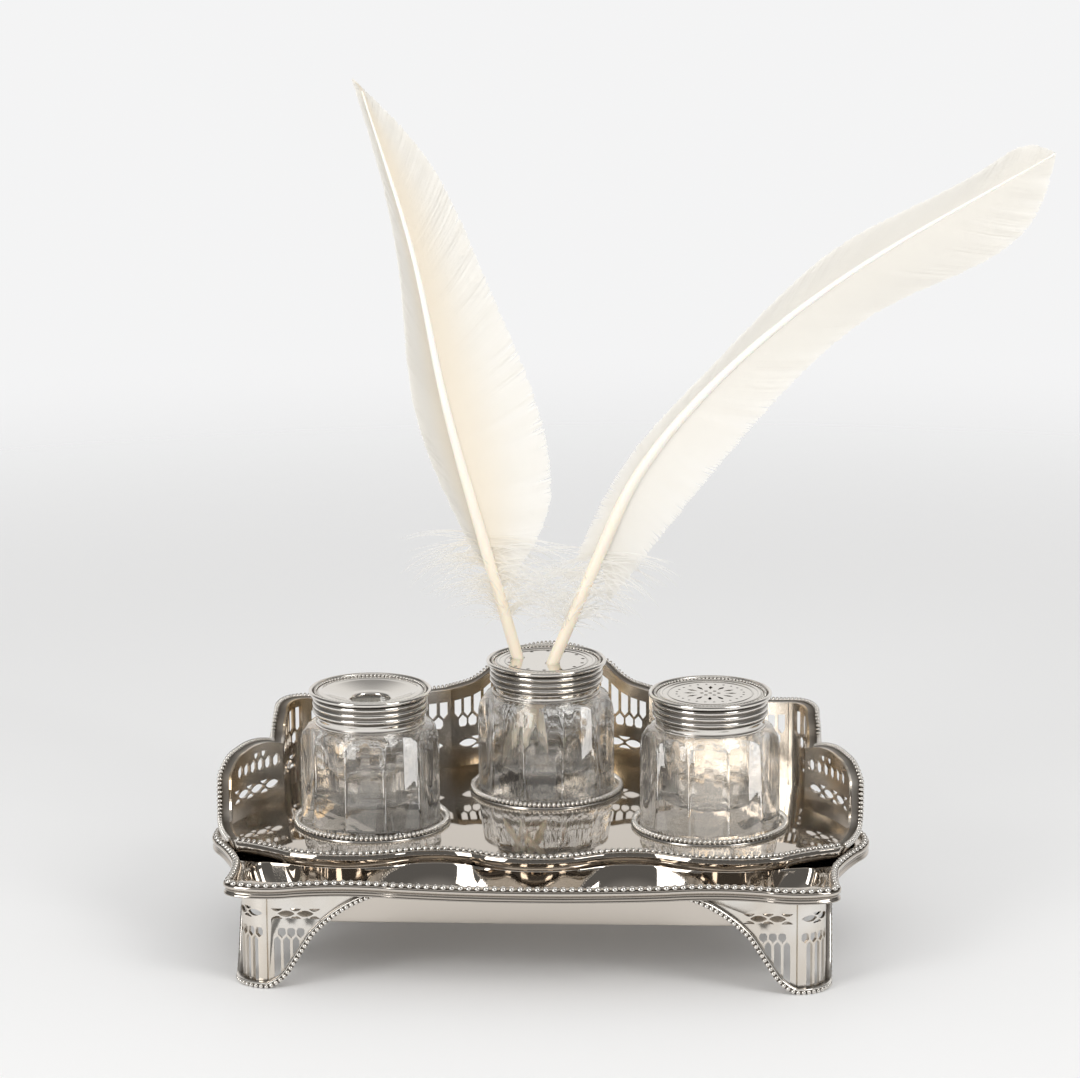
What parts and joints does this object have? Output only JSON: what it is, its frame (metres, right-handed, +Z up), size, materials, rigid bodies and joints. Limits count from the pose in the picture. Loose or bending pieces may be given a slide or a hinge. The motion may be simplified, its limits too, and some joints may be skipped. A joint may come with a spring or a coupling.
{
  "type": "desk inkstand",
  "caption": "Footed silver desk stand with a pierced gallery, pen trough, beaded borders, cut-glass ink, pounce and quill bottles with lift-off lids, and quill pens that draw out.",
  "frame": {"origin": "on the table, in the middle of the ground that the box round the whole object covers; the tray's middle is at x -0.0371, y -0.0032, because the right quill reaches far out", "axes": "+Z up; -Y towards the pen trough at the front; +X to the right as seen from the front"},
  "size_m": [0.3408, 0.1837, 0.3455],
  "materials": {
    "silver": "polished silver with warm tarnish in the piercing and along the beading",
    "glass": "clear cut glass, polished flutes",
    "cement": "matt plaster that fixes the collar to the neck",
    "quill_shaft": "ivory horn of a goose quill, half gloss",
    "quill_vane": "thin white feather barbs, matt and slightly see-through"
  },
  "bodies": {
    "stand": {"bottle_ring_centre": "silver", "bottle_ring_left": "silver", "bottle_ring_right": "silver", "foot_back_border_left": "silver", "foot_back_border_right": "silver", "foot_back_left": "silver", "foot_back_right": "silver", "foot_front_border_left": "silver", "foot_front_border_right": "silver", "foot_front_left": "silver", "foot_front_right": "silver", "gallery_centre": "silver", "gallery_centre_border": "silver", "gallery_corner_border_left": "silver", "gallery_corner_border_right": "silver", "gallery_corner_left": "silver", "gallery_corner_right": "silver", "gallery_side_border_left": "silver", "gallery_side_border_right": "silver", "gallery_side_left": "silver", "gallery_side_right": "silver", "gallery_wing_border_left": "silver", "gallery_wing_border_right": "silver", "gallery_wing_left": "silver", "gallery_wing_right": "silver", "platform_border": "silver", "rim_moulding": "silver", "tray": "silver"},
    "bottle_left": {"bottle_glass_left": "glass", "bottle_cement_left": "cement", "bottle_collar_left": "silver"},
    "lid_left": {"lid_rim_left": "silver", "lid_plate_left": "silver"},
    "bottle_centre": {"bottle_glass_centre": "glass", "bottle_cement_centre": "cement", "bottle_collar_centre": "silver"},
    "lid_centre": {"lid_rim_centre": "silver", "lid_plate_centre": "silver"},
    "bottle_right": {"bottle_glass_right": "glass", "bottle_cement_right": "cement", "bottle_collar_right": "silver"},
    "lid_right": {"lid_rim_right": "silver", "lid_plate_right": "silver"},
    "quill_left": {"quill_shaft_left": "quill_shaft", "quill_vane_left": "quill_vane"},
    "quill_right": {"quill_shaft_right": "quill_shaft", "quill_vane_right": "quill_vane"}
  },
  "joints": [
    {"name": "bottle_left_lift", "type": "slide", "parent": "stand", "child": "bottle_left", "axis": [0, 0, 1], "range_m": [0, 0.07]},
    {"name": "lid_left_lift", "type": "slide", "parent": "bottle_left", "child": "lid_left", "axis": [0, 0, 1], "range_m": [0, 0.03]},
    {"name": "bottle_centre_lift", "type": "slide", "parent": "stand", "child": "bottle_centre", "axis": [0, 0, 1], "range_m": [0, 0.07]},
    {"name": "lid_centre_lift", "type": "slide", "parent": "bottle_centre", "child": "lid_centre", "axis": [0, 0, 1], "range_m": [0, 0.02]},
    {"name": "bottle_right_lift", "type": "slide", "parent": "stand", "child": "bottle_right", "axis": [0, 0, 1], "range_m": [0, 0.07]},
    {"name": "lid_right_lift", "type": "slide", "parent": "bottle_right", "child": "lid_right", "axis": [0, 0, 1], "range_m": [0, 0.03]},
    {"name": "quill_left_draw", "type": "slide", "parent": "lid_centre", "child": "quill_left", "axis": [-0.2672, 0, 0.9637], "range_m": [0, 0.06]},
    {"name": "quill_right_draw", "type": "slide", "parent": "lid_centre", "child": "quill_right", "axis": [0.3896, 0, 0.921], "range_m": [0, 0.06]}
  ]
}
